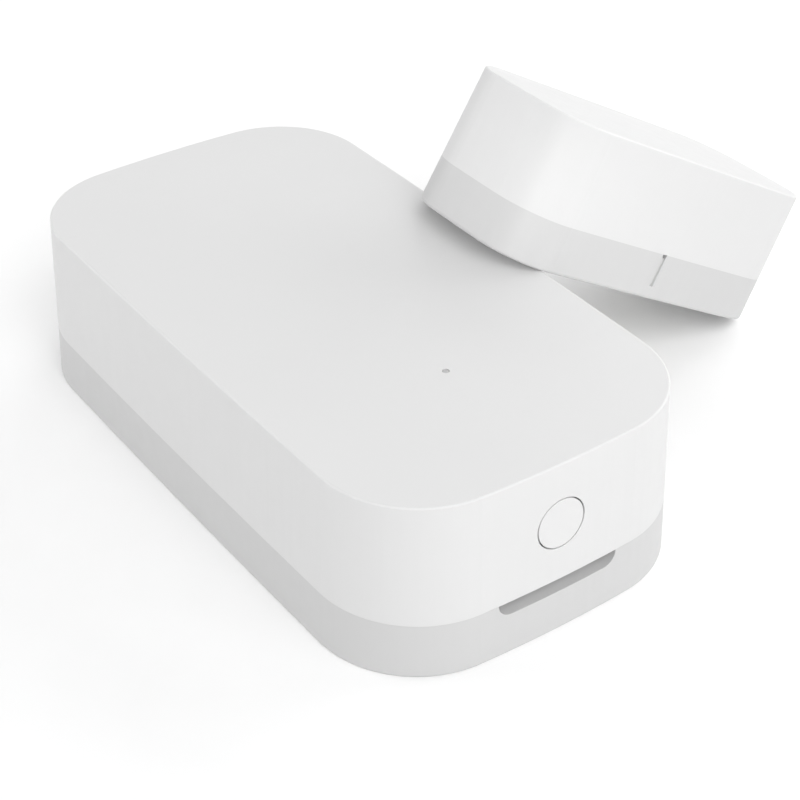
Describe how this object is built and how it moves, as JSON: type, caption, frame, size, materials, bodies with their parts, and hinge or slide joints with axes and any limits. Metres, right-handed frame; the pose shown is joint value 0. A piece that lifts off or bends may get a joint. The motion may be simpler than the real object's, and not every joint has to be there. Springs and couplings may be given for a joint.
{
  "type": "door contact sensor",
  "caption": "Two-piece wireless door contact sensor: a flat sensor unit with a pairing button, status light and pry slot, and a smaller magnet unit that leans on it.",
  "frame": {"origin": "centre of the sensor unit's adhesive face", "axes": "+Z out of the mounting surface, -Y towards the end with the pairing button, +X towards the side that the magnet unit comes up to"},
  "size_m": [0.0446, 0.041, 0.0197],
  "materials": {
    "cover_plastic": "fine satin moulded white",
    "base_plastic": "fine satin moulded light grey white",
    "button_plastic": "satin white",
    "foam_tape": "double-sided foam tape",
    "switch_plunger": "black moulded",
    "switch_body": "black moulded",
    "circuit_board": "green solder mask",
    "screw_steel": "plated",
    "led_resin": "clear resin on a white carrier",
    "light_pipe": "clear polycarbonate",
    "chip_epoxy": "moulded epoxy",
    "crystal_can": "plated can",
    "copper_trace": "tinned copper under mask",
    "resistor_ceramic": "black glaze",
    "capacitor_ceramic": "tan ceramic",
    "cell_steel": "nickel-plated, drawn",
    "cell_seal": "moulded polypropylene",
    "holder_plastic": "black moulded",
    "contact_plate": "nickel-plated bronze",
    "reed_glass": "drawn glass, greenish",
    "reed_metal": "tinned iron-nickel",
    "magnet_plating": "nickel-plated"
  },
  "bodies": {
    "base": {"sensor_base": "base_plastic", "sensor_adhesive_pad": "foam_tape"},
    "housing": {"sensor_cover": "cover_plastic", "switch_body": "switch_body", "circuit_board": "circuit_board", "board_screws": "screw_steel", "status_led": "led_resin", "light_pipe": "light_pipe", "radio_chip": "chip_epoxy", "crystal": "crystal_can", "antenna": "copper_trace", "chip_resistors": "resistor_ceramic", "chip_capacitors": "capacitor_ceramic", "coin_cell_can": "cell_steel", "coin_cell_seal": "cell_seal", "coin_cell_lid": "cell_steel", "battery_holder": "holder_plastic", "positive_contact": "contact_plate", "negative_contact": "contact_plate", "reed_glass": "reed_glass", "reed_fixed_blade": "reed_metal", "reed_lead": "reed_metal"},
    "button": {"pairing_button": "button_plastic", "switch_plunger": "switch_plunger"},
    "reed_blade": {"reed_moving_blade": "reed_metal"},
    "magnet_unit": {"magnet_cover": "cover_plastic", "magnet_base": "base_plastic", "bar_magnet": "magnet_plating", "magnet_adhesive_pad": "foam_tape"}
  },
  "joints": [
    {"name": "housing_lift", "type": "slide", "parent": "base", "child": "housing", "axis": [0, 0, 1], "range_m": [0, 0.02]},
    {"name": "button_press", "type": "slide", "parent": "housing", "child": "button", "axis": [0, 1, 0], "range_m": [0, 0.0003], "stiffness_N_per_m": 3000},
    {"name": "reed_flex", "type": "hinge", "parent": "housing", "child": "reed_blade", "pos_m": [0.0069, -0.0028, 0.00728], "axis": [-1, 0, 0], "range_deg": [0, 1.2], "stiffness_Nm_per_rad": 0.0006},
    {"name": "magnet_slide", "type": "slide", "parent": "housing", "child": "magnet_unit", "axis": [1, 0, 0], "range_m": [0, 0.06]}
  ]
}
